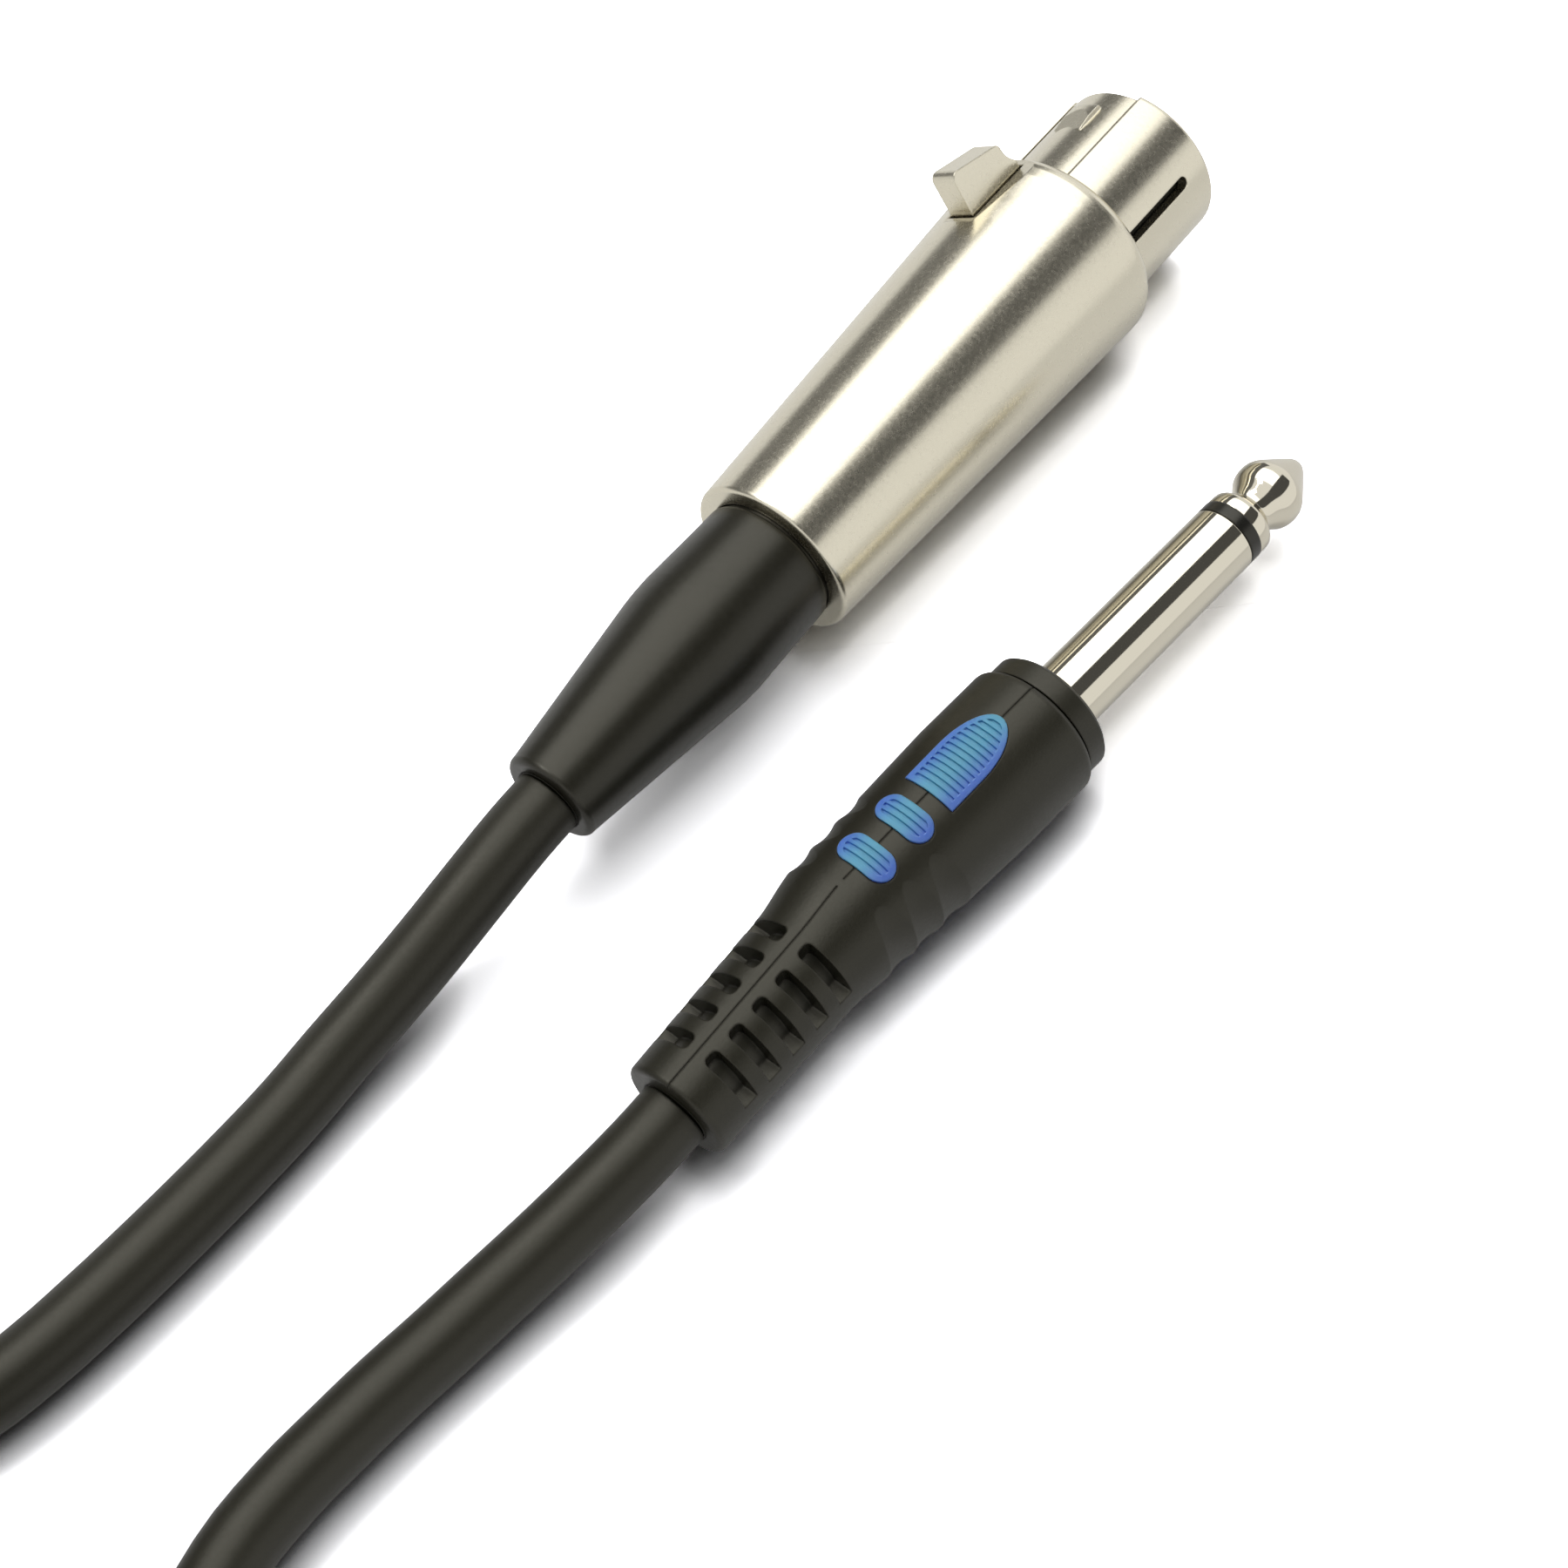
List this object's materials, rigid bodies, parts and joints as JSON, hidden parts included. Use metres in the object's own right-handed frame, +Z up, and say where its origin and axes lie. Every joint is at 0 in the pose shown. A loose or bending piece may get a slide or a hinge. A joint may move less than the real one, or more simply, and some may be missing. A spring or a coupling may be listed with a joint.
{
  "type": "microphone cable",
  "caption": "Round black microphone cable with a latching XLR socket connector at one end and a moulded mono jack plug at the other, its spare length folded into a tied hank.",
  "frame": {"origin": "centre of the two connectors' footprint on the surface that they lie on", "axes": "+Y along the XLR connector's axis towards its nose, +Z up"},
  "size_m": [0.0772, 0.2707, 0.0282],
  "materials": {
    "satin_nickel": "satin nickel plate on die-cast zinc",
    "polished_nickel": "polished nickel plate on turned brass",
    "spring_steel": "bright spring wire",
    "contact_brass": "turned brass",
    "insert_plastic": "moulded",
    "ring_plastic": "turned, slight gloss",
    "chuck_plastic": "moulded",
    "boot_rubber": "moulded, soft satin",
    "body_pvc": "moulded soft PVC, satin",
    "inlay_blue": "moulded, ribbed",
    "cable_jacket": "extruded PVC, satin",
    "wire_red": "extruded",
    "wire_copper": "stranded copper",
    "tie_fabric": "hook-and-loop tape"
  },
  "bodies": {
    "cable": {"xlr_shell": "satin_nickel", "xlr_insert": "insert_plastic", "contact_1": "contact_brass", "contact_2": "contact_brass", "contact_3": "contact_brass", "latch_spring": "spring_steel", "insert_screw": "satin_nickel", "cable_chuck": "chuck_plastic", "xlr_boot": "boot_rubber", "cable_end_xlr": "cable_jacket", "wire_hot_xlr": "wire_red", "wire_screen_xlr": "wire_copper", "wire_link_xlr": "wire_copper", "jack_tip": "polished_nickel", "tip_insulator": "ring_plastic", "jack_sleeve": "polished_nickel", "jack_collar": "body_pvc", "jack_body": "body_pvc", "inlay_bullet_top": "inlay_blue", "inlay_pill_front_top": "inlay_blue", "inlay_pill_rear_top": "inlay_blue", "inlay_bullet_under": "inlay_blue", "inlay_pill_front_under": "inlay_blue", "inlay_pill_rear_under": "inlay_blue", "tip_lug": "contact_brass", "sleeve_lug": "contact_brass", "cable_end_jack": "cable_jacket", "wire_hot_jack": "wire_red", "wire_screen_jack": "wire_copper", "cord_xlr_run": "cable_jacket", "cord_coil": "cable_jacket", "cord_jack_run": "cable_jacket", "coil_tie": "tie_fabric"},
    "latch": {"latch_lever": "satin_nickel"}
  },
  "joints": [
    {"name": "latch_press", "type": "hinge", "parent": "cable", "child": "latch", "pos_m": [-0.01497, 0.02303, 0.01448], "axis": [-0.788, 0, -0.6157], "range_deg": [0, 3], "stiffness_Nm_per_rad": 0.05, "springref_deg": -5.73, "deforming": ["latch_spring"]}
  ]
}
